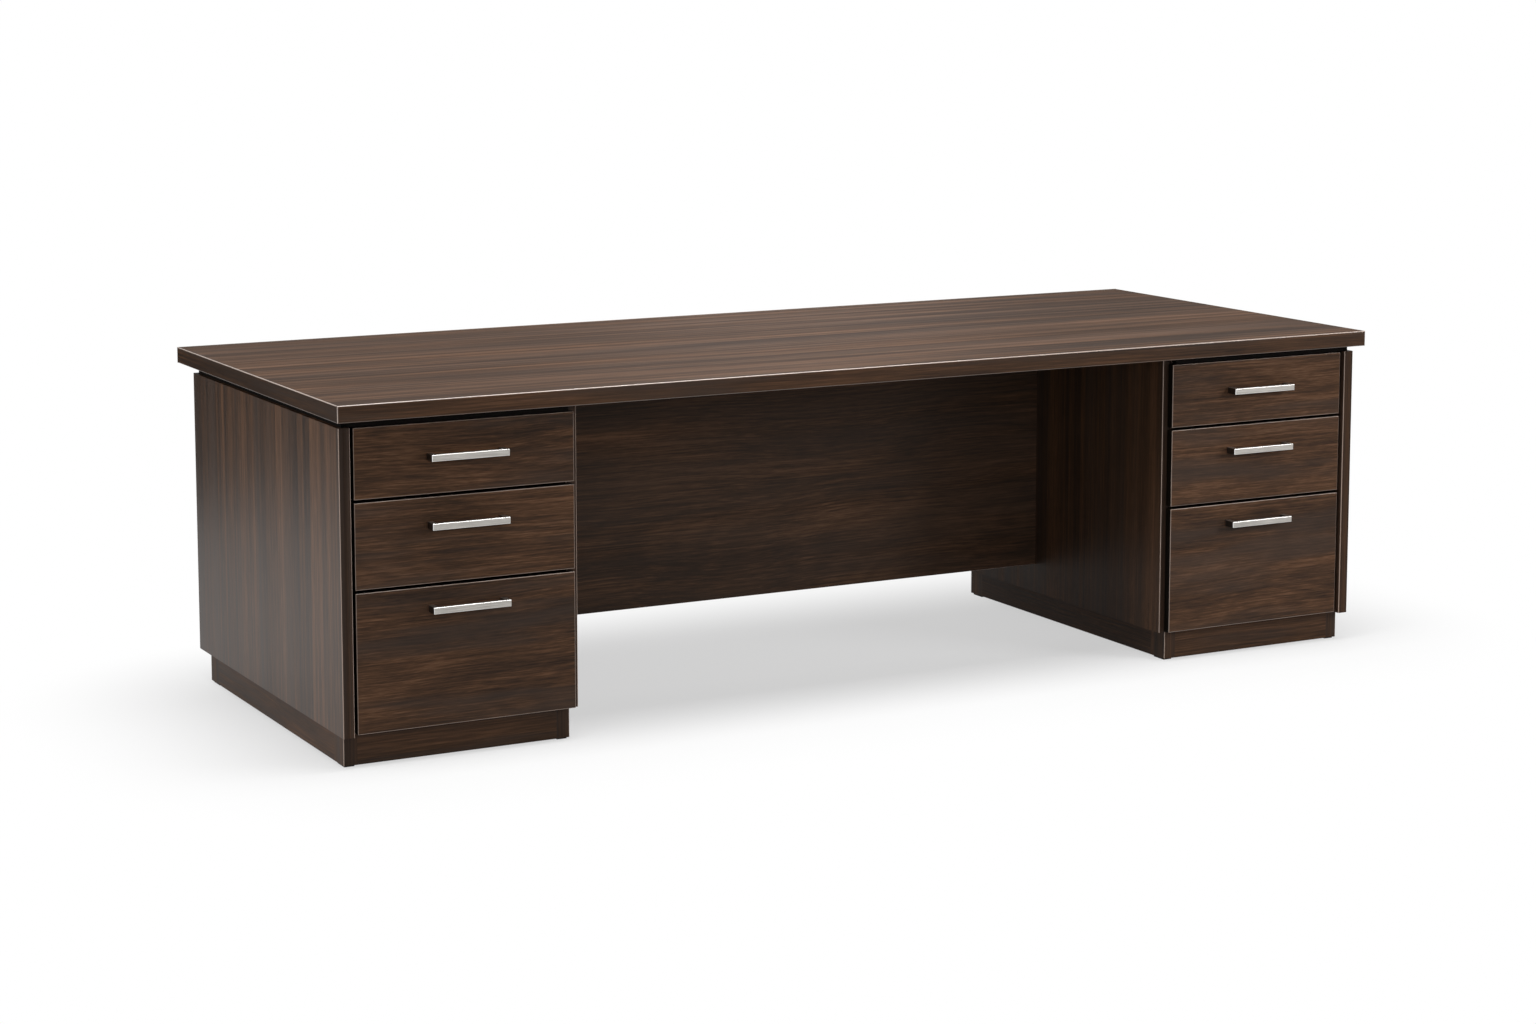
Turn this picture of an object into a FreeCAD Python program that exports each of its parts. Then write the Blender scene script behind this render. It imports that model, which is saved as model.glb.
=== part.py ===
"""Two-pedestal office desk: every board, runner, pull and fastener is a solid of its own.

Millimetres. X runs along the desk, the user sits on the -Y side, Z is up and the floor is at Z = 0.
The origin lies on the floor under the middle of the desktop.
"""
import FreeCAD, Part
import os

V = FreeCAD.Vector

# Desk as a whole
desk_width = 2600.0
desk_depth = 1050.0
desk_height = 760.0

# Desktop: a core board with a band glued to each edge
top_thickness = 36.0
band_thickness = 3.0
band_ease = 2.5

# Pedestals: where they stand under the desktop
side_overhang = 12.0
front_overhang = 30.0
rear_overhang = 80.0
pedestal_width = 537.0
shadow_gap = 15.0

# Carcass boards
outer_panel_thickness = 25.0
inner_panel_thickness = 25.0
carcass_board_thickness = 18.0
panel_ease = 2.0
top_board_inset = 10.0

# Plinth: boards between corner posts, set back under the carcass
plinth_height = 65.0
plinth_board_thickness = 18.0
plinth_outer_inset = 10.0
plinth_inner_inset = 19.0
plinth_front_inset = 29.0
plinth_rear_inset = 50.0
post_width = 30.0
post_depth = 55.0
post_ease = 2.0

# Glides: a plastic pad under each post
glide_width = 22.0
glide_depth = 40.0
glide_height = 4.0

# Modesty panel between the two inner panels
modesty_thickness = 18.0
modesty_bottom = 140.0
modesty_front = 63.0
modesty_ease = 1.0

# Drawer fronts, from the top drawer down; the lowest front fills what is left
upper_front_heights = (148.0, 180.0)
front_thickness = 18.0
front_setback = 5.5
front_side_gap = 8.5
front_reveal = 14.0
front_gap = 6.5
front_top_gap = 2.0
front_bottom_gap = 3.0
front_ease = 2.0
bumper_gap = 1.5

# Drawer boxes behind the fronts
box_wall_thickness = 15.0
box_bottom_thickness = 6.0
box_rise = 20.0
box_drop = 33.0
groove_depth = 7.0
groove_rise = 10.0
groove_play = 0.5

# Telescopic runners: rolled steel members that nest in each other
slide_length = 550.0
slide_space = 13.0
slide_height = 45.0
slide_gauge = 1.5
slide_clearance = 0.4
slide_bend = 1.0
slide_setback = 2.0
slide_rise = 46.0
drawer_member_height = 28.0

# Bar pulls, one per front; the drops are from the front's top edge to the bar's middle
pull_spacing = 160.0
pull_post_width = 12.0
pull_height = 14.0
pull_bar_depth = 9.0
pull_projection = 30.0
pull_ease = 1.5
pull_drops = (70.0, 58.0, 46.0)

# Pull screws
screw_radius = 2.0
screw_head_radius = 4.0
screw_head_height = 2.5
screw_grip = 12.0
hole_clearance = 0.3

# What every cut runs past the material, and what counts as the same place
cut_overrun = 5.0
same_place = 0.01

# Heights that the sizes above give
carcass_bottom = glide_height + plinth_height
top_underside = desk_height - top_thickness
carcass_top = top_underside - shadow_gap

# Depths, from the user's side to the rear
panel_front = front_overhang - desk_depth / 2
panel_back = desk_depth / 2 - rear_overhang
face_front = panel_front + front_setback
face_back = face_front + front_thickness
carcass_front = face_back + bumper_gap
back_panel_front = panel_back - carcass_board_thickness
slide_front = carcass_front + slide_setback
slide_back = slide_front + slide_length
plinth_front = panel_front + plinth_front_inset
plinth_back = panel_back - plinth_rear_inset

# Insets, from a pedestal's outer face towards the kneehole
bay_outer = outer_panel_thickness
bay_inner = pedestal_width - inner_panel_thickness
front_outer = bay_outer + front_side_gap
front_inner = pedestal_width - front_reveal
front_middle = (front_outer + front_inner) / 2
box_outer = bay_outer + slide_space
box_inner = bay_inner - slide_space
plinth_outer = plinth_outer_inset
plinth_inner = pedestal_width - plinth_inner_inset

sides = {"left": -1, "right": 1}


def inset_x(side, inset):
    """X of a plane inset from a pedestal's outer face: side is -1 on the left and 1 on the right."""
    return side * (desk_width / 2 - side_overhang - inset)


def board(x_span, y_span, z_span):
    """A square-edged board between two values on each axis, given in either order."""
    low = V(min(x_span), min(y_span), min(z_span))
    high = V(max(x_span), max(y_span), max(z_span))
    size = high - low
    return Part.makeBox(size.x, size.y, size.z, low)


def pedestal_board(side, insets, y_span, z_span):
    """A board whose X span is given as two insets from a pedestal's outer face."""
    return board([inset_x(side, inset) for inset in insets], y_span, z_span)


def lies_in(edge, axis, value):
    """Whether an edge lies in the plane where the named axis has this value."""
    return all(abs(getattr(vertex, axis) - value) < same_place for vertex in edge.Vertexes)


def in_any(edge, planes):
    """Whether an edge lies in one of the given (axis, value) planes."""
    return any(lies_in(edge, axis, value) for axis, value in planes)


def eased(solid, radius, planes, spared=()):
    """Rounds the edges that lie in one of the planes, but none that lies in a spared plane."""
    edges = [edge for edge in solid.Edges if in_any(edge, planes) and not in_any(edge, spared)]
    return solid.makeFillet(radius, edges)


def bored(solid, radius, start, direction):
    """Cuts a round hole from a start point along a direction whose length is the hole's depth."""
    return solid.cut(Part.makeCylinder(radius, direction.Length, start, direction))


# Desktop

def desktop():
    """The core board inside the bands."""
    half_width = desk_width / 2 - band_thickness
    half_depth = desk_depth / 2 - band_thickness
    return board((-half_width, half_width), (-half_depth, half_depth), (top_underside, desk_height))


def edge_bands():
    """Four bands with eased outer edges: the long ones run past the ends of the short ones."""
    half_width = desk_width / 2
    half_depth = desk_depth / 2
    inner_depth = half_depth - band_thickness
    z_span = (top_underside, desk_height)
    bands = []
    for way in (-1, 1):
        long_face = way * half_depth
        long_band = board((-half_width, half_width), (long_face, way * inner_depth), z_span)
        bands.append(eased(long_band, band_ease, [("Y", long_face)]))
    for way in (-1, 1):
        short_face = way * half_width
        x_span = (short_face, short_face - way * band_thickness)
        short_band = board(x_span, (-inner_depth, inner_depth), z_span)
        ends = [("Y", -inner_depth), ("Y", inner_depth)]
        bands.append(eased(short_band, band_ease, [("X", short_face)], ends))
    return bands


# Pedestal carcass

def side_panel(side, insets, front, top):
    """An upright board with its four upright edges eased."""
    y_span = (front, panel_back)
    z_span = (carcass_bottom, top)
    panel = pedestal_board(side, insets, y_span, z_span)
    ends = [("Z", height) for height in z_span]
    return eased(panel, panel_ease, [("Y", depth) for depth in y_span], ends)


def outer_panel(side):
    """The thick outer side panel, whose front edge stands beside the drawers."""
    return side_panel(side, (0, bay_outer), panel_front, carcass_top)


def inner_panel(side):
    """The kneehole side panel, which stands behind the drawers and reaches up to the desktop."""
    return side_panel(side, (bay_inner, pedestal_width), carcass_front, top_underside)


def back_panel(side):
    """The rear board between the side panels."""
    y_span = (back_panel_front, panel_back)
    return pedestal_board(side, (bay_outer, bay_inner), y_span, (carcass_bottom, carcass_top))


def bottom_panel(side):
    """The floor of the pedestal, which lies on the plinth."""
    z_span = (carcass_bottom, carcass_bottom + carcass_board_thickness)
    return pedestal_board(side, (bay_outer, bay_inner), (carcass_front, back_panel_front), z_span)


def top_board(side):
    """The recessed board that makes the shadow gap: it lies on the outer and back panels."""
    y_span = (panel_front + top_board_inset, panel_back - top_board_inset)
    return pedestal_board(side, (top_board_inset, bay_inner), y_span, (carcass_top, top_underside))


# Modesty panel

def modesty_panel():
    """The board across the kneehole, with its two long lower edges eased."""
    half_span = inset_x(1, pedestal_width)
    y_span = (modesty_front, modesty_front + modesty_thickness)
    panel = board((-half_span, half_span), y_span, (modesty_bottom, top_underside))
    ends = [("X", -half_span), ("X", half_span)]
    return eased(panel, modesty_ease, [("Z", modesty_bottom)], ends)


# Plinth and glides

def post_spans():
    """The insets and depths of the four corner posts under a pedestal."""
    across = ((plinth_outer, plinth_outer + post_width), (plinth_inner - post_width, plinth_inner))
    along = ((plinth_front, plinth_front + post_depth), (plinth_back - post_depth, plinth_back))
    return [(insets, depths) for insets in across for depths in along]


def plinth_posts():
    """Corner posts of both plinths, each eased at its outer corner."""
    posts = []
    z_span = (glide_height, carcass_bottom)
    for side in sides.values():
        for insets, depths in post_spans():
            post = pedestal_board(side, insets, depths, z_span)
            corner_x = inset_x(side, plinth_outer if plinth_outer in insets else plinth_inner)
            corner_y = plinth_front if plinth_front in depths else plinth_back
            outer_edges = [edge for edge in post.Edges if lies_in(edge, "X", corner_x)]
            corner = [edge for edge in outer_edges if lies_in(edge, "Y", corner_y)]
            posts.append(post.makeFillet(post_ease, corner))
    return posts


def plinth_front_rear(side):
    """The two plinth boards across a pedestal, between its posts."""
    insets = (plinth_outer + post_width, plinth_inner - post_width)
    z_span = (glide_height, carcass_bottom)
    front = pedestal_board(side, insets, (plinth_front, plinth_front + plinth_board_thickness), z_span)
    rear = pedestal_board(side, insets, (plinth_back - plinth_board_thickness, plinth_back), z_span)
    return [front, rear]


def plinth_sides(side):
    """The two plinth boards along a pedestal, between its posts."""
    depths = (plinth_front + post_depth, plinth_back - post_depth)
    z_span = (glide_height, carcass_bottom)
    outer = pedestal_board(side, (plinth_outer, plinth_outer + plinth_board_thickness), depths, z_span)
    inner = pedestal_board(side, (plinth_inner - plinth_board_thickness, plinth_inner), depths, z_span)
    return [outer, inner]


def glides():
    """Eight pads, one under the middle of each post."""
    pads = []
    for side in sides.values():
        for insets, depths in post_spans():
            x = inset_x(side, sum(insets) / 2)
            y = sum(depths) / 2
            x_span = (x - glide_width / 2, x + glide_width / 2)
            y_span = (y - glide_depth / 2, y + glide_depth / 2)
            pads.append(board(x_span, y_span, (0, glide_height)))
    return pads


# Runners

def channel_profile(near, far, half, lip_half):
    """A lipped channel as (distance from the carcass, height) points, and its four outer bends."""
    gauge = slide_gauge
    upper = [(near + gauge, half - gauge), (far - gauge, half - gauge), (far - gauge, lip_half),
             (far, lip_half), (far, half), (near, half)]
    lower = [(reach, -height) for reach, height in reversed(upper)]
    bends = [(reach, way * half) for reach in (near, far) for way in (-1, 1)]
    return lower + upper, bends


def hat_profile(near, far, half, leg_half):
    """A hat section whose brim runs behind a channel's lips and whose crown lies on the drawer box."""
    gauge = slide_gauge
    upper = [(far - gauge, leg_half - gauge), (near, leg_half - gauge), (near, half),
             (near + gauge, half), (near + gauge, leg_half), (far, leg_half)]
    lower = [(reach, -height) for reach, height in reversed(upper)]
    crown_bends = [(far, way * leg_half) for way in (-1, 1)]
    brim_bends = [(near, way * (leg_half - gauge)) for way in (-1, 1)]
    return lower + upper, crown_bends + brim_bends


def runner_profiles():
    """The three nested sections, from the carcass to the drawer, a sheet and a clearance apart."""
    step = slide_gauge + slide_clearance
    half = slide_height / 2
    leg_half = drawer_member_height / 2
    lip_half = leg_half + slide_clearance
    cabinet = channel_profile(0, 4 * step + slide_gauge, half, lip_half)
    middle = channel_profile(step, 3 * step + slide_gauge, half - step, lip_half)
    drawer = hat_profile(2 * step, slide_space, half - 2 * step, leg_half)
    return {"cabinet": cabinet, "middle": middle, "drawer": drawer}


def runner_member(side, wall_inset, way, height, profile):
    """One rolled member: its profile stands on a carcass wall and runs the length of the runner."""
    points, bends = profile
    corners = [V(inset_x(side, wall_inset + way * reach), slide_front, height + rise)
               for reach, rise in points]
    section = Part.Face(Part.makePolygon(corners + corners[:1]))
    member = section.extrude(V(0, slide_length, 0))
    bend_places = [(inset_x(side, wall_inset + way * reach), height + rise) for reach, rise in bends]
    bend_edges = [edge for edge in member.Edges
                  if any(lies_in(edge, "X", x) and lies_in(edge, "Z", z) for x, z in bend_places)]
    return member.makeChamfer(slide_bend, bend_edges)


def runner_pair(side, span, name):
    """The same member on both walls of a drawer's bay."""
    height = span[0] + box_rise + slide_rise
    profile = runner_profiles()[name]
    walls = ((bay_outer, 1), (bay_inner, -1))
    return [runner_member(side, wall_inset, way, height, profile) for wall_inset, way in walls]


# Drawers

def front_spans():
    """Bottom and top of each drawer front, from the top drawer down."""
    spans = []
    top = carcass_top - front_top_gap
    for height in upper_front_heights:
        spans.append((top - height, top))
        top = top - height - front_gap
    spans.append((carcass_bottom + front_bottom_gap, top))
    return spans


def pull_screw_places(side, span, drop):
    """The middle of each pull post, on the drawer front's face."""
    height = span[1] - drop
    middle = inset_x(side, front_middle)
    return [V(middle + way * pull_spacing / 2, face_front, height) for way in (-1, 1)]


def groove_spans(span):
    """Insets, depths and heights of the groove that holds a drawer's bottom on all four sides."""
    low = span[0] + box_rise + groove_rise
    insets = (box_outer + box_wall_thickness - groove_depth, box_inner - box_wall_thickness + groove_depth)
    depths = (face_back - groove_depth, slide_back - box_wall_thickness + groove_depth)
    return insets, depths, (low, low + box_bottom_thickness)


def drawer_front(side, span, drop):
    """The overlay front, which closes the box: eased round its face, grooved behind, bored for the pull."""
    front = pedestal_board(side, (front_outer, front_inner), (face_front, face_back), span)
    front = eased(front, front_ease, [("Y", face_front)])
    front = front.cut(pedestal_board(side, *groove_spans(span)))
    through = V(0, front_thickness + 2 * cut_overrun, 0)
    for place in pull_screw_places(side, span, drop):
        before = V(place.x, face_front - cut_overrun, place.z)
        front = bored(front, screw_radius + hole_clearance, before, through)
    return front


def drawer_box(side, span):
    """Two sides and a back with a groove for the bottom, and the bottom, as separate boards."""
    z_span = (span[0] + box_rise, span[1] - box_drop)
    inner_insets = (box_outer + box_wall_thickness, box_inner - box_wall_thickness)
    outer_side = pedestal_board(side, (box_outer, inner_insets[0]), (face_back, slide_back), z_span)
    inner_side = pedestal_board(side, (inner_insets[1], box_inner), (face_back, slide_back), z_span)
    back_wall = pedestal_board(side, inner_insets, (slide_back - box_wall_thickness, slide_back), z_span)
    insets, depths, heights = groove_spans(span)
    groove = pedestal_board(side, insets, depths, heights)
    walls = [plank.cut(groove) for plank in (outer_side, inner_side, back_wall)]
    bottom_insets = (insets[0] + groove_play, insets[1] - groove_play)
    bottom_depths = (depths[0] + groove_play, depths[1] - groove_play)
    return walls + [pedestal_board(side, bottom_insets, bottom_depths, heights)]


def pull(side, span, drop):
    """A square bar pull in one piece: a bar on two posts, eased round its face and bored for the screws."""
    places = pull_screw_places(side, span, drop)
    x_span = (places[0].x - pull_post_width / 2, places[1].x + pull_post_width / 2)
    height = places[0].z
    z_span = (height - pull_height / 2, height + pull_height / 2)
    bar_face = face_front - pull_projection
    block = board(x_span, (bar_face, face_front), z_span)
    block = eased(block, pull_ease, [("Y", bar_face)])
    hollow_x = (x_span[0] + pull_post_width, x_span[1] - pull_post_width)
    hollow_y = (bar_face + pull_bar_depth, face_front + cut_overrun)
    hollow_z = (z_span[0] - cut_overrun, z_span[1] + cut_overrun)
    handle = block.cut(board(hollow_x, hollow_y, hollow_z))
    screw_hole = V(0, -screw_grip - hole_clearance, 0)
    for place in places:
        handle = bored(handle, screw_radius + hole_clearance, place, screw_hole)
    return handle


def pull_screws(side, span, drop):
    """Two pan-head screws from inside the drawer, through its front, into the pull's posts."""
    towards = V(0, -1, 0)
    screws = []
    for place in pull_screw_places(side, span, drop):
        seat = place + V(0, front_thickness, 0)
        shank = Part.makeCylinder(screw_radius, front_thickness + screw_grip, seat, towards)
        head = Part.makeCylinder(screw_head_radius, screw_head_height, seat, -towards)
        screws.append(head.fuse(shank).removeSplitter())
    return screws


# Assembly

def pedestal_nodes(name, side):
    """The fixed pieces of one pedestal, by node name."""
    cabinet_rails = [rail for span in front_spans() for rail in runner_pair(side, span, "cabinet")]
    return {
        name + "_outer_panel": [outer_panel(side)],
        name + "_inner_panel": [inner_panel(side)],
        name + "_back_panel": [back_panel(side)],
        name + "_bottom_panel": [bottom_panel(side)],
        name + "_top_board": [top_board(side)],
        name + "_plinth_front_rear": plinth_front_rear(side),
        name + "_plinth_sides": plinth_sides(side),
        name + "_slide_rails": cabinet_rails,
    }


def drawer_nodes(name, side, span, drop):
    """The pieces of one drawer and of the runner members that move with it."""
    return {
        name + "_front": [drawer_front(side, span, drop)],
        name + "_box": drawer_box(side, span),
        name + "_pull": [pull(side, span, drop)],
        name + "_pull_screws": pull_screws(side, span, drop),
        name + "_slide_middle": runner_pair(side, span, "middle"),
        name + "_slide_inner": runner_pair(side, span, "drawer"),
    }


def desk_nodes():
    """Every node of the desk and its solids."""
    nodes = {
        "desktop": [desktop()],
        "desktop_edge_bands": edge_bands(),
        "modesty_panel": [modesty_panel()],
        "plinth_posts": plinth_posts(),
        "glides": glides(),
    }
    for name, side in sides.items():
        nodes.update(pedestal_nodes(name, side))
        for place, span, drop in zip(("upper", "middle", "lower"), front_spans(), pull_drops):
            nodes.update(drawer_nodes(name + "_" + place + "_drawer", side, span, drop))
    return nodes


def main():
    """Writes one file per node."""
    os.makedirs("parts", exist_ok=True)
    for name, solids in desk_nodes().items():
        shape = solids[0] if len(solids) == 1 else Part.makeCompound(solids)
        shape.exportStep(os.path.join("parts", name + ".step"))


main()
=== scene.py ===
"""Looks of the two-pedestal desk: dark walnut laminate and brushed nickel pulls in a white studio.

Metres. X runs along the desk, the user sits on the -Y side, Z is up and the floor is at Z = 0.
"""

import math
from types import SimpleNamespace

import bpy
from mathutils import Matrix, Vector


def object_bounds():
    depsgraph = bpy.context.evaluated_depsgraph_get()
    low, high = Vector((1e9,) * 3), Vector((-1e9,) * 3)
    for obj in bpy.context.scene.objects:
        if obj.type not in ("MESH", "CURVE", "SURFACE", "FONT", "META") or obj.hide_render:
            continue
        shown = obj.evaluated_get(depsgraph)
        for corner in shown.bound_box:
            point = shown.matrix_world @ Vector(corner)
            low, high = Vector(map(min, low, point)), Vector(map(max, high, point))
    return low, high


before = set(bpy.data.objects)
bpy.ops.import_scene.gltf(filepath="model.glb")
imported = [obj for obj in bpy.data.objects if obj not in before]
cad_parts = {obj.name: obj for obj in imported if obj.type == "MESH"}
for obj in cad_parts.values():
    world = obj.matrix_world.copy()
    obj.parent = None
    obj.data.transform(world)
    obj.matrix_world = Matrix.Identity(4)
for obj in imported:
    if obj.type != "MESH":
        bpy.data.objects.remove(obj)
cad_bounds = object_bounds()

# Camera: where it stands, how far it turns right of +Y and looks down, its lens and sensor, and its
# shift as a share of the picture's width
camera_place = Vector((-3.41675, -6.29485, 1.66367))
camera_yaw = math.radians(28.20)
camera_pitch = math.radians(7.40)
camera_lens_mm = 72.155
camera_sensor_mm = 36.0
camera_shift_y_share = -0.1055

# Floor, as the eye sees it: a lit white mixed with a glow. The glow is weakest in a shade box, which is set
# in from the desk's sides, front and rear, and it rises to plain white over a fade outside that box
floor_size = 400.0
floor_white = 0.56
floor_glow_near = 0.54
floor_shade_inset_side = 0.12
floor_shade_inset_front = 0.225
floor_shade_inset_rear = 0.375
floor_fade = (0.03, 0.66)

# Floor, as light on the desk: how much it gives back near the shade box and far from it, and the fade between
floor_bounce_near = 0.55
floor_bounce_far = 0.12
floor_bounce_fade = (0.7, 4.3)

# World light on the desk: at the horizon and overhead
horizon_light = 0.13
zenith_light = 0.35

# Lamps: place, the point they face, size and power in watts; one that isn't mirrored gives no sheen
lamps = {
    "overhead": {"place": (-0.1, -0.8, 3.4), "faces": (-0.1, -0.5, 0.0), "size": (3.6, 1.2), "watts": 160.0},
    "right": {"place": (3.0, -3.2, 1.9), "faces": (1.0, -0.5, 0.4), "size": (1.4, 1.4), "watts": 76.0},
    "left": {"place": (-4.4, 0.2, 1.5), "faces": (-1.3, 0.0, 0.2), "size": (2.0, 2.0), "watts": 68.0},
    "front": {"place": (-1.2, -5.0, 2.0), "faces": (0.0, -0.5, 0.4), "size": (2.5, 1.5), "watts": 40.0},
    "behind": {"place": (2.0, 3.6, 1.4), "faces": (0.0, 0.0, 0.76), "size": (1.3, 1.1), "watts": 7.0},
    "rear": {"place": (0.0, 5.2, 2.4), "faces": (0.0, 0.5, 0.35), "size": (3.0, 1.5), "watts": 70.0,
             "mirrored": False},
}

# A black card behind the left end that only reflections show: where it stands, its width and its height
card_middle = (-2.4, 2.5)
card_width = 1.9
card_height = 1.4

# Directions, as a normal's share along an axis
flat_lean = 0.995  # a flat face, along its nearest axis
rounded_lean = 0.90  # a fully rounded edge, along its nearest axis
facing_lean = 0.7  # from here on a face counts as looking along an axis

# Relief: the height of a full step in metres, and its strength on boards and on metal
relief_height = 0.0005
board_relief = 0.06
metal_relief = 0.10

# Noise
middle = 0.5  # of its values, and of the tone scale
piece_offset = 7.0  # how far apart the figures of two pieces can lie in it, in metres

# Walnut colours: from the darkest streak to the palest, with their stops on the tone scale, then the cool
# patches, the edges made pale partly by wear and partly by painted highlight, and the near black painted
# shade on the faces of the drawer fronts that the gaps between them show
walnut_tones = (
    (0.022, 0.0135, 0.0095),
    (0.046, 0.0245, 0.014),
    (0.070, 0.0355, 0.019),
    (0.125, 0.064, 0.035),
)
walnut_stops = (0.15, 0.42, 0.60, 0.90)
cool_tone = (0.036, 0.026, 0.021)
scuffed_highlighted_edge_colour = (0.34, 0.26, 0.215)
front_gap_shade_colour = (0.004, 0.003, 0.002)

# Walnut noises that all cuts share: features per metre along the grain and across it, and detail
wander_noise = (1.6, 3.5, 1.0)
pore_noise = (40.0, 1300.0, 1.0)
arc_noise = (0.9, 5.0, 1.0)

# Walnut noises that a cut sets: their detail, and the roughness of the streaks
figure_detail = 2.0
streak_detail = 4.0
streak_roughness = 0.52

# Walnut figure
pore_span = (0.40, 0.30)  # noise values where a pore begins and is full
arc_radians = 120.0  # of the arcs' sine, over the noise's whole range
line_span = (0.05, 0.0)  # distances from the noise's middle where a thin line begins and is full
line_spread = 0.6  # features of the thin lines' noise across the grain, for each of the streaks
cool_spread = 1.3  # features of the cool patches' noise across the grain, for each of the bands
cool_strength = 0.65
scuffed_and_highlighted_span = (-0.1, 0.5)  # streak values where the wear and the painted highlight of an edge begin and are full

# Walnut tone: where it starts, and what the layers of the figure and a face of finer grain add to it
tone_base = -0.15
streak_weight = 0.75
fibre_weight = 0.5
line_weight = 0.05
pore_weight = -0.08
finer_face_weight = -0.14

# Walnut surface
pore_height = -0.5  # where a fibre's is 1
front_gap_shade_lean = (0.30, 0.55)  # lean to Y over which the painted gap shade gives way to the wood
lower_edge_rise = (-0.3, 0.0)  # upward share of the normal over which an edge stops facing down
coat_ior = 1.8

# The plain cut of a walnut board: what holds where a board's own cut doesn't say otherwise
plain_cut = {
    "along": "X",  # axis of the grain; a second one is for the faces that look along X
    "bands": (2.2, 14.0),  # features per metre along the grain and across it
    "streaks": (3.0, 230.0),
    "fibres": (14.0, 460.0),
    "band_share": 0.6,  # what the bands add to the tone
    "arcs": 0.0,  # what the arcs add to the tone
    "wander": 0.01,  # metres that the grain wanders sideways
    "finer": 1.0,  # how much finer the grain is on the faces that look along Y
    "contrast": 1.2,
    "shade": 0.0,  # lightens or darkens the tone
    "end_shade": 0.0,  # painted shade on the faces that look along X
    "cool_span": (0.45, 0.68),  # noise values where the cool patches begin and are full
    "edged": False,  # whether only the faces that look along Y are wood and the rest is near black painted shade, for the gaps between drawer fronts
    "edge_wear": 1.0,  # how pale the rounded edges are, partly from wear and partly as painted highlight
    "lower_edge": 1.0,  # the share of wear, painted highlight and coat that edges facing down keep, as less light falls on them
    "roughness": 0.42,
    "gloss_streaks": 0.16,  # how much rougher pale streaks are than dark ones
    "sheen": 0.06,
    "edge_gloss": 0.3,  # coat on the rounded edges
    "end_gloss": 0.0,  # coat on the faces that look along X
    "coat_roughness": 0.18,
}

# Cuts that more than one board starts from
front_cut = {"bands": (1.8, 12.0), "streaks": (5.0, 230.0), "fibres": (30.0, 500.0), "arcs": 0.03,
             "wander": 0.03, "contrast": 1.5, "edged": True, "edge_wear": 0.75}
upright_cut = {"along": "Z", "bands": (0.35, 9.0), "streaks": (0.6, 60.0)}
plinth_cut = {"wander": 0.02, "shade": -0.05}

# Walnut materials: what each one's cut changes
walnut_cuts = {
    "walnut_top": {"bands": (0.5, 9.0), "streaks": (0.9, 42.0), "contrast": 1.75, "cool_span": (0.0, 1.0),
                   "roughness": 0.60, "gloss_streaks": -0.3, "sheen": 0.02},
    "walnut_edging": {"along": "XY", "bands": (1.5, 20.0), "streaks": (3.0, 240.0), "shade": -0.07,
                      "end_shade": -0.15, "edge_wear": 0.8, "lower_edge": 0.35, "edge_gloss": 1.0,
                      "coat_roughness": 0.28},
    "walnut_fronts": front_cut,
    "walnut_middle_fronts": {**front_cut, "shade": 0.045},
    "walnut_panel": {"bands": (1.2, 10.0), "streaks": (3.5, 230.0), "fibres": (24.0, 500.0), "arcs": 0.03,
                     "wander": 0.04, "contrast": 1.6, "cool_span": (0.10, 0.75)},
    "walnut_upright": {**upright_cut, "band_share": 0.45, "finer": 3.0, "contrast": 1.8, "roughness": 0.40,
                       "sheen": 0.05, "end_gloss": 0.28, "coat_roughness": 0.36},
    "walnut_back": {**upright_cut, "band_share": 0.5, "contrast": 1.6, "sheen": 0.08},
    "walnut_inner": {**upright_cut, "finer": 3.0, "contrast": 1.3, "shade": -0.06, "roughness": 0.46,
                     "sheen": 0.08},
    "walnut_plinth": plinth_cut,
    "walnut_plinth_side": {**plinth_cut, "along": "Y"},
}

# Metals: colours of the pale and dark brush lines, of the ends, which on the pulls are painted shade, and of
# the rounded rims, a painted highlight; then roughness, and the axis of the lines where it isn't X; the ends
# of the runners are black
zinc = {"pale": (0.50, 0.51, 0.53), "dark": (0.36, 0.37, 0.39), "end": (0.42, 0.43, 0.45),
        "rim_highlight": (0.62, 0.63, 0.65), "roughness": 0.38}
metals = {
    "brushed_nickel": {"pale": (0.48, 0.46, 0.43), "dark": (0.28, 0.265, 0.245), "end": (0.14, 0.13, 0.12),
                       "rim_highlight": (0.86, 0.85, 0.83), "roughness": 0.34},
    "zinc_steel": zinc,
    "runner_steel": {**zinc, "along": "Y", "end": (0.006, 0.006, 0.006)},
}

# Brush lines and smudges of the metals: their noises as for the walnut, and their shares in the colour
brush_noise = (12.0, 1500.0, 2.0)
smudge_noise = (30.0, 30.0, 3.0)
brush_share = 0.8
smudge_share = 0.2
metal_stops = (0.35, 0.65)  # noise values of the dark colour and the pale one
metal_end_lean = (0.5, 0.9)  # lean to the lines' axis over which the colour of the ends comes in
brush_gloss = 0.18  # how much rougher pale lines are than dark ones

# Plain boards and plastic: colours of the pale and dark specks, and sheen
plain_boards = {
    "black_brown_board": {"pale": (0.008, 0.007, 0.006), "dark": (0.004, 0.003, 0.003), "sheen": 0.02},
    "drawer_melamine": {"pale": (0.120, 0.098, 0.080), "dark": (0.085, 0.070, 0.056), "sheen": 0.15},
    "glide_plastic": {"pale": (0.012, 0.012, 0.012), "dark": (0.006, 0.006, 0.006), "sheen": 0.10},
}

# Specks of the plain boards and plastic: their noise as for the walnut
speck_noise = (160.0, 260.0, 3.0)
speck_stops = (0.3, 0.7)  # noise values of the dark colour and the pale one
speck_roughness = 0.6
speck_gloss = 0.2  # how much rougher pale specks are than dark ones

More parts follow.
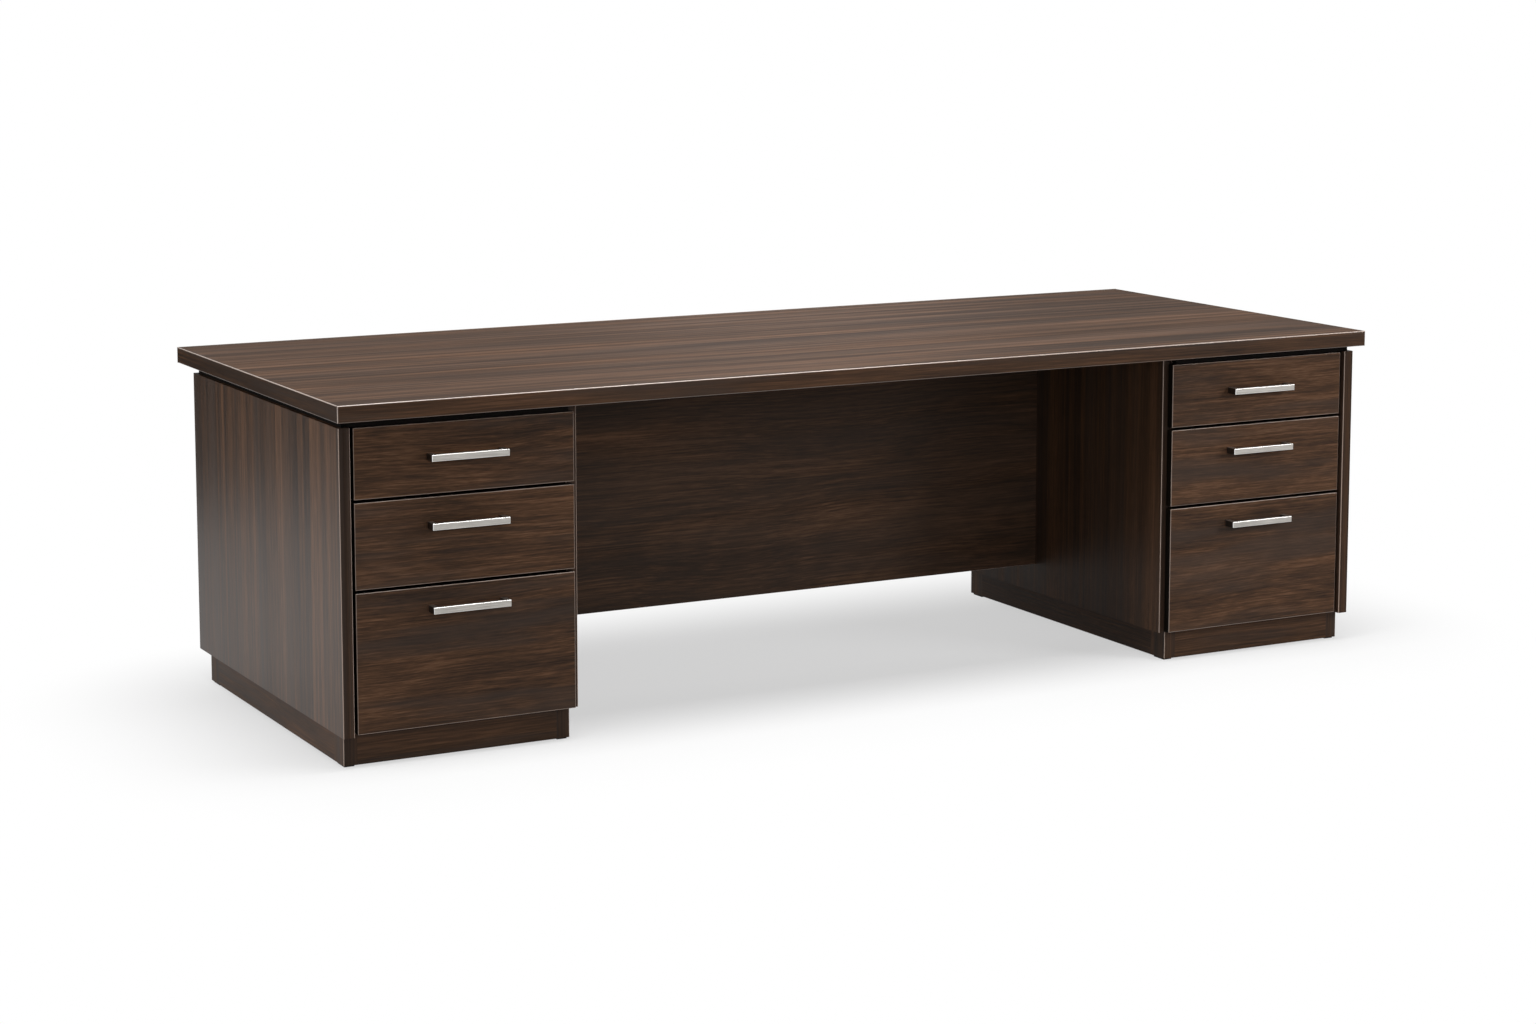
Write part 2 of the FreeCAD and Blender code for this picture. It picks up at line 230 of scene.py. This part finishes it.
# The material of each piece by the ending of its name; the first ending that fits counts
finishes = {
    "desktop": "walnut_top",
    "_edge_bands": "walnut_edging",
    "_middle_drawer_front": "walnut_middle_fronts",
    "_drawer_front": "walnut_fronts",
    "_outer_panel": "walnut_upright",
    "_inner_panel": "walnut_inner",
    "_back_panel": "walnut_back",
    "plinth_posts": "walnut_inner",
    "_plinth_front_rear": "walnut_plinth",
    "_plinth_sides": "walnut_plinth_side",
    "modesty_panel": "walnut_panel",
    "_bottom_panel": "walnut_panel",
    "_top_board": "black_brown_board",
    "_box": "drawer_melamine",
    "_pull": "brushed_nickel",
    "_pull_screws": "zinc_steel",
    "_slide_inner": "runner_steel",
    "_slide_middle": "runner_steel",
    "_slide_rails": "runner_steel",
    "glides": "glide_plastic",
}


class Graph:
    """A node tree with short ways to add nodes and join them."""

    def __init__(self, owner):
        owner.use_nodes = True
        self.tree = owner.node_tree
        self.tree.nodes.clear()

    def add(self, kind, sockets=None, **settings):
        """Adds a node; sockets maps an input's name or number to a value or to another node's output."""
        node = self.tree.nodes.new("ShaderNode" + kind)
        for key, value in settings.items():
            setattr(node, key, value)
        for key, value in (sockets or {}).items():
            self.join(value, node.inputs[key])
        return node

    def join(self, value, socket):
        """Links an output to a socket, or sets the socket's own value."""
        if isinstance(value, bpy.types.NodeSocket):
            self.tree.links.new(value, socket)
        elif socket.type == "RGBA" and len(value) == 3:
            socket.default_value = (*value, 1.0)
        else:
            socket.default_value = value

    def coordinate(self, kind):
        """A texture coordinate, such as Object or Normal."""
        return self.add("TexCoord").outputs[kind]

    def axes(self, vector):
        """The X, Y and Z of a vector."""
        return self.add("SeparateXYZ", {0: vector}).outputs

    def combine(self, *parts):
        """The vector with the given X, Y and Z."""
        return self.add("CombineXYZ", dict(enumerate(parts))).outputs[0]

    def math(self, kind, *values):
        """The result of a math node."""
        return self.add("Math", dict(enumerate(values)), operation=kind).outputs[0]

    def vector(self, kind, *values):
        """The vector result of a vector math node."""
        return self.add("VectorMath", dict(enumerate(values)), operation=kind).outputs[0]

    def span(self, value, low, high):
        """Maps low..high to 0..1 smoothly and holds the ends."""
        sockets = {"Value": value, "From Min": low, "From Max": high}
        return self.add("MapRange", sockets, interpolation_type="SMOOTHSTEP").outputs[0]

    def between(self, share, low, high):
        """A number that goes from low to high as the share goes from 0 to 1."""
        return self.math("MULTIPLY_ADD", share, high - low, low)

    def vary(self, value, amount, centre):
        """The centre, plus the amount times how far the value lies above the middle."""
        return self.math("MULTIPLY_ADD", value, amount, centre - amount * middle)

    def ramp(self, value, places, colours):
        """A colour ramp with one colour at each place."""
        node = self.add("ValToRGB", {"Fac": value})
        elements = node.color_ramp.elements
        for _ in range(len(places) - len(elements)):
            elements.new(1.0)
        for element, place, colour in zip(elements, places, colours):
            element.position = place
            element.color = (*colour, 1.0)
        return node.outputs["Color"]

    def mix(self, share, first, second, kind="RGBA"):
        """Goes from the first value to the second; each kind of value has its own sockets on the node."""
        first_input, second_input, output = {"VECTOR": (4, 5, 1), "RGBA": (6, 7, 2)}[kind]
        sockets = {0: share, first_input: first, second_input: second}
        return self.add("Mix", sockets, data_type=kind).outputs[output]


def new_material(name):
    """A material and its empty node tree."""
    material = bpy.data.materials.new(name)
    return material, Graph(material)


def finish_material(graph, colour, roughness, height, sockets, relief=board_relief):
    """Joins colour, roughness, a fine relief and the other sockets to the shader."""
    bump = {"Strength": relief, "Distance": relief_height, "Height": height}
    normal = graph.add("Bump", bump).outputs[0]
    joined = {"Base Color": colour, "Roughness": roughness, "Normal": normal, **sockets}
    shader = graph.add("BsdfPrincipled", joined)
    graph.add("OutputMaterial", {"Surface": shader.outputs[0]})


def lean(graph):
    """How much the surface faces along each axis, from 0 to 1."""
    return graph.axes(graph.vector("ABSOLUTE", graph.coordinate("Normal")))


def looks_along(graph, axis):
    """1 on the faces that look along an axis and 0 on the others."""
    return graph.math("GREATER_THAN", lean(graph)[axis], facing_lean)


def eased_edge(graph):
    """1 on the rounded edges of a piece and 0 on its flat faces, by how far the normal is off the axes."""
    parts = lean(graph)
    largest = graph.math("MAXIMUM", graph.math("MAXIMUM", parts["X"], parts["Y"]), parts["Z"])
    return graph.span(largest, flat_lean, rounded_lean)


def turned(graph, along):
    """Object coordinates in an order that starts with the axis along the grain."""
    parts = graph.axes(graph.coordinate("Object"))
    order = {"X": "XYZ", "Y": "YZX", "Z": "ZXY"}[along]
    return graph.combine(*(parts[axis] for axis in order))


def grain_space(graph, along):
    """Coordinates whose first axis runs along the grain, with an offset of its own per piece.

    Where two axes are given, the grain runs along the second one on the faces that look along X.
    """
    space = turned(graph, along[0])
    if len(along) == 2:
        space = graph.mix(looks_along(graph, "X"), space, turned(graph, along[1]), "VECTOR")
    random = graph.add("ObjectInfo").outputs["Random"]
    return graph.vector("ADD", space, graph.math("MULTIPLY", random, piece_offset))


def noise(graph, space, lengthwise, crosswise, detail, roughness=0.55):
    """Noise drawn out along the grain: how many features per metre lie along it and across it."""
    scaled = graph.vector("MULTIPLY", space, (lengthwise, crosswise, crosswise))
    sockets = {"Vector": scaled, "Scale": 1.0, "Detail": detail, "Roughness": roughness}
    return graph.add("TexNoise", sockets).outputs["Fac"]


def walnut_space(graph, cut):
    """The grain's coordinates, finer on some faces if the cut says so, with the wander of the grain."""
    space = grain_space(graph, cut.along)
    if cut.finer != 1.0:
        finer_across = graph.between(looks_along(graph, "Y"), 1.0, cut.finer)
        space = graph.vector("MULTIPLY", space, graph.combine(1.0, finer_across, finer_across))
    slow = graph.math("SUBTRACT", noise(graph, space, *wander_noise), middle)
    sideways = graph.math("MULTIPLY", slow, cut.wander)
    return graph.vector("ADD", space, graph.combine(0.0, sideways, sideways))


def walnut_tone(graph, cut, space, streak, fibre, pore):
    """The wood's tone, dark to pale: bands, streaks, fibres, arcs, thin lines and pores."""
    band = noise(graph, space, *cut.bands, figure_detail)
    arc = graph.math("SINE", graph.math("MULTIPLY", noise(graph, space, *arc_noise), arc_radians))
    lengthwise, crosswise = cut.streaks
    ridge = noise(graph, space, lengthwise, crosswise * line_spread, figure_detail)
    line = graph.span(graph.math("ABSOLUTE", graph.math("SUBTRACT", ridge, middle)), *line_span)
    tone = graph.vary(band, cut.band_share, tone_base)
    layers = (
        (streak, streak_weight),
        (fibre, fibre_weight),
        (arc, cut.arcs),
        (line, line_weight),
        (pore, pore_weight),
    )
    for layer, weight in layers:
        tone = graph.math("MULTIPLY_ADD", layer, weight, tone)
    tone = graph.vary(tone, cut.contrast, middle + cut.shade)
    if cut.finer != 1.0:
        tone = graph.math("MULTIPLY_ADD", looks_along(graph, "Y"), finer_face_weight, tone)
    # Painted shade: the faces that look along X made darker, on the ends of the desktop's edge bands
    if cut.end_shade:
        tone = graph.math("MULTIPLY_ADD", lean(graph)["X"], cut.end_shade, tone)
    return tone


def board_edge(graph, cut):
    """As eased_edge, but on edges that face down it is only the share that the cut keeps there."""
    edge = eased_edge(graph)
    # Edges that face down keep less of the painted highlight, as less light falls on them
    if cut.lower_edge != 1.0:
        rise = graph.axes(graph.coordinate("Normal"))["Z"]
        kept = graph.between(graph.span(rise, *lower_edge_rise), cut.lower_edge, 1.0)
        edge = graph.math("MULTIPLY", edge, kept)
    return edge


def walnut(name, **changes):
    """Walnut laminate in the plain cut with some changes: its figure, cool patches, edges pale from wear and
    painted highlight, painted shade on the drawer fronts' gap faces, and coat.
    """
    cut = SimpleNamespace(**{**plain_cut, **changes})
    material, graph = new_material(name)
    space = walnut_space(graph, cut)
    streak = noise(graph, space, *cut.streaks, streak_detail, streak_roughness)
    fibre = noise(graph, space, *cut.fibres, figure_detail)
    pore = graph.span(noise(graph, space, *pore_noise), *pore_span)
    wood = graph.ramp(walnut_tone(graph, cut, space, streak, fibre, pore), walnut_stops, walnut_tones)
    lengthwise, crosswise = cut.bands
    patch = noise(graph, space, lengthwise, crosswise * cool_spread, figure_detail)
    coolness = graph.math("MULTIPLY", graph.span(patch, *cut.cool_span), cool_strength)
    wood = graph.mix(coolness, wood, cool_tone)
    edge = board_edge(graph, cut)
    # Pale edges: partly wear, partly a painted highlight
    scuff_and_painted_highlight = graph.math("MULTIPLY", edge, cut.edge_wear)
    scuffed_and_highlighted = graph.math("MULTIPLY", scuff_and_painted_highlight, graph.span(streak, *scuffed_and_highlighted_span))
    colour = graph.mix(scuffed_and_highlighted, wood, scuffed_highlighted_edge_colour)
    # Painted shade: on the drawer fronts every face that doesn't look along Y is near black, so the gaps
    # between fronts read dark
    if cut.edged:
        colour = graph.mix(graph.span(lean(graph)["Y"], *front_gap_shade_lean), front_gap_shade_colour, colour)
    coat = graph.math("MULTIPLY", edge, cut.edge_gloss)
    if cut.end_gloss:
        end_face = graph.span(lean(graph)["X"], rounded_lean, flat_lean)
        coat = graph.math("MULTIPLY_ADD", end_face, cut.end_gloss, coat)
    sockets = {
        "Specular IOR Level": cut.sheen,
        "Coat Weight": coat,
        "Coat Roughness": cut.coat_roughness,
        "Coat IOR": coat_ior,
    }
    gloss = graph.vary(streak, cut.gloss_streaks, cut.roughness)
    height = graph.math("MULTIPLY_ADD", pore, pore_height, fibre)
    finish_material(graph, colour, gloss, height, sockets)
    return material


def brushed_metal(name, pale, dark, end, rim_highlight, roughness, along="X"):
    """Metal with brush lines along one axis, a colour of its own on its ends, and a painted highlight on its
    rounded edges.
    """
    material, graph = new_material(name)
    space = grain_space(graph, along)
    lines = noise(graph, space, *brush_noise)
    smudge = noise(graph, space, *smudge_noise)
    shade = graph.math("MULTIPLY_ADD", smudge, smudge_share, graph.math("MULTIPLY", lines, brush_share))
    colour = graph.ramp(shade, metal_stops, (dark, pale))
    # The ends: on the pulls, painted shade
    colour = graph.mix(graph.span(lean(graph)[along], *metal_end_lean), colour, end)
    # Painted highlight on the rounded rims
    colour = graph.mix(eased_edge(graph), colour, rim_highlight)
    gloss = graph.vary(lines, brush_gloss, roughness)
    finish_material(graph, colour, gloss, lines, {"Metallic": 1.0}, metal_relief)
    return material


def speckled(name, pale, dark, sheen):
    """A matt board or plastic with a fine uneven tone."""
    material, graph = new_material(name)
    speck = noise(graph, grain_space(graph, "X"), *speck_noise)
    colour = graph.ramp(speck, speck_stops, (dark, pale))
    gloss = graph.vary(speck, speck_gloss, speck_roughness)
    finish_material(graph, colour, gloss, speck, {"Specular IOR Level": sheen})
    return material


def dress():
    """Gives every CAD node its material."""
    materials = {}
    for make, table in ((walnut, walnut_cuts), (brushed_metal, metals), (speckled, plain_boards)):
        for name, values in table.items():
            materials[name] = make(name, **values)
    for name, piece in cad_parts.items():
        ending = next(ending for ending in finishes if name.endswith(ending))
        piece.data.materials.clear()
        piece.data.materials.append(materials[finishes[ending]])


def grey(level):
    """A neutral colour, from 0 for black to 1 for white."""
    return (level, level, level)


def seen(graph):
    """1 for the rays that show the background: straight to the camera, mirrored or through glass."""
    path = graph.add("LightPath").outputs
    indirect = graph.math("MAXIMUM", path["Is Glossy Ray"], path["Is Transmission Ray"])
    return graph.math("MAXIMUM", path["Is Camera Ray"], indirect)


def from_shade_box(graph):
    """How far a point of the floor lies outside the shade box."""
    low, high = cad_bounds
    place = graph.axes(graph.coordinate("Object"))
    beside = graph.math("SUBTRACT", graph.math("ABSOLUTE", place["X"]), high[0] - floor_shade_inset_side)
    ahead = graph.math("SUBTRACT", low[1] + floor_shade_inset_front, place["Y"])
    behind = graph.math("SUBTRACT", place["Y"], high[1] - floor_shade_inset_rear)
    outside = graph.vector("MAXIMUM", graph.combine(beside, ahead, behind), (0.0, 0.0, 0.0))
    return graph.add("VectorMath", {0: outside}, operation="LENGTH").outputs["Value"]


def floor():
    """A white floor: to the eye its shadows are soft and fade out away from the desk."""
    bpy.ops.mesh.primitive_plane_add(size=floor_size)
    plane = bpy.context.object
    material, graph = new_material("floor_white")
    distance = from_shade_box(graph)
    shown = seen(graph)
    far_share = graph.span(distance, *floor_bounce_fade)
    bounce = graph.ramp(far_share, (0.0, 1.0), (grey(floor_bounce_near), grey(floor_bounce_far)))
    colour = graph.mix(shown, bounce, grey(floor_white))
    lit = graph.add("BsdfDiffuse", {"Color": colour}).outputs[0]
    white = graph.add("Emission", {"Color": grey(1.0), "Strength": 1.0}).outputs[0]
    glow = graph.between(graph.span(distance, *floor_fade), floor_glow_near, 1.0)
    mixed = graph.add("MixShader", {0: graph.math("MULTIPLY", glow, shown), 1: lit, 2: white}).outputs[0]
    graph.add("OutputMaterial", {"Surface": mixed})
    plane.data.materials.append(material)


def black_card():
    """A card that darkens the sheen on the upper part of the left end panel, as a flag does in a studio."""
    bpy.ops.mesh.primitive_plane_add(size=1.0, location=(*card_middle, card_height / 2))
    card = bpy.context.object
    card.scale = (card_width, card_height, 1.0)
    card.rotation_euler.x = math.radians(90.0)
    material, graph = new_material("card_black")
    black = graph.add("BsdfDiffuse", {"Color": grey(0.0)}).outputs[0]
    graph.add("OutputMaterial", {"Surface": black})
    card.data.materials.append(material)
    card.visible_camera = False
    card.visible_diffuse = False
    card.visible_shadow = False


def surroundings():
    """White to the eye; as light on the desk, dim at the horizon and brighter overhead."""
    world = bpy.data.worlds.new("studio")
    bpy.context.scene.world = world
    graph = Graph(world)
    height = graph.axes(graph.coordinate("Generated"))["Z"]
    strength = graph.between(graph.span(height, 0.0, 1.0), horizon_light, zenith_light)
    light = graph.add("Background", {"Color": grey(1.0), "Strength": strength}).outputs[0]
    background = graph.add("Background", {"Color": grey(1.0), "Strength": 1.0}).outputs[0]
    mixed = graph.add("MixShader", {0: seen(graph), 1: light, 2: background}).outputs[0]
    graph.add("OutputWorld", {"Surface": mixed})


def add_lamp(name, place, faces, size, watts, mirrored=True):
    """A soft rectangular lamp that faces a point; one that isn't mirrored gives no sheen."""
    data = bpy.data.lights.new(name, "AREA")
    data.shape = "RECTANGLE"
    data.size, data.size_y = size
    data.energy = watts
    lamp = bpy.data.objects.new(name, data)
    lamp.location = place
    lamp.visible_camera = False
    lamp.visible_glossy = mirrored
    lamp.rotation_euler = (Vector(faces) - Vector(place)).to_track_quat("-Z", "Y").to_euler()
    bpy.context.scene.collection.objects.link(lamp)


def camera():
    """The photograph's view."""
    level = Vector((math.sin(camera_yaw), math.cos(camera_yaw), 0.0))
    forward = level * math.cos(camera_pitch) - Vector((0.0, 0.0, math.sin(camera_pitch)))
    right = Vector((math.cos(camera_yaw), -math.sin(camera_yaw), 0.0))
    turn = Matrix((right, right.cross(forward), -forward)).transposed().to_4x4()
    data = bpy.data.cameras.new("camera")
    data.lens = camera_lens_mm
    data.sensor_width = camera_sensor_mm
    data.shift_y = camera_shift_y_share
    seat = bpy.data.objects.new("camera", data)
    seat.matrix_world = Matrix.Translation(camera_place) @ turn
    bpy.context.scene.collection.objects.link(seat)
    bpy.context.scene.camera = seat


dress()
floor()
black_card()
surroundings()
for name, settings in lamps.items():
    add_lamp(name, **settings)
camera()
bpy.context.scene.view_settings.view_transform = "Standard"
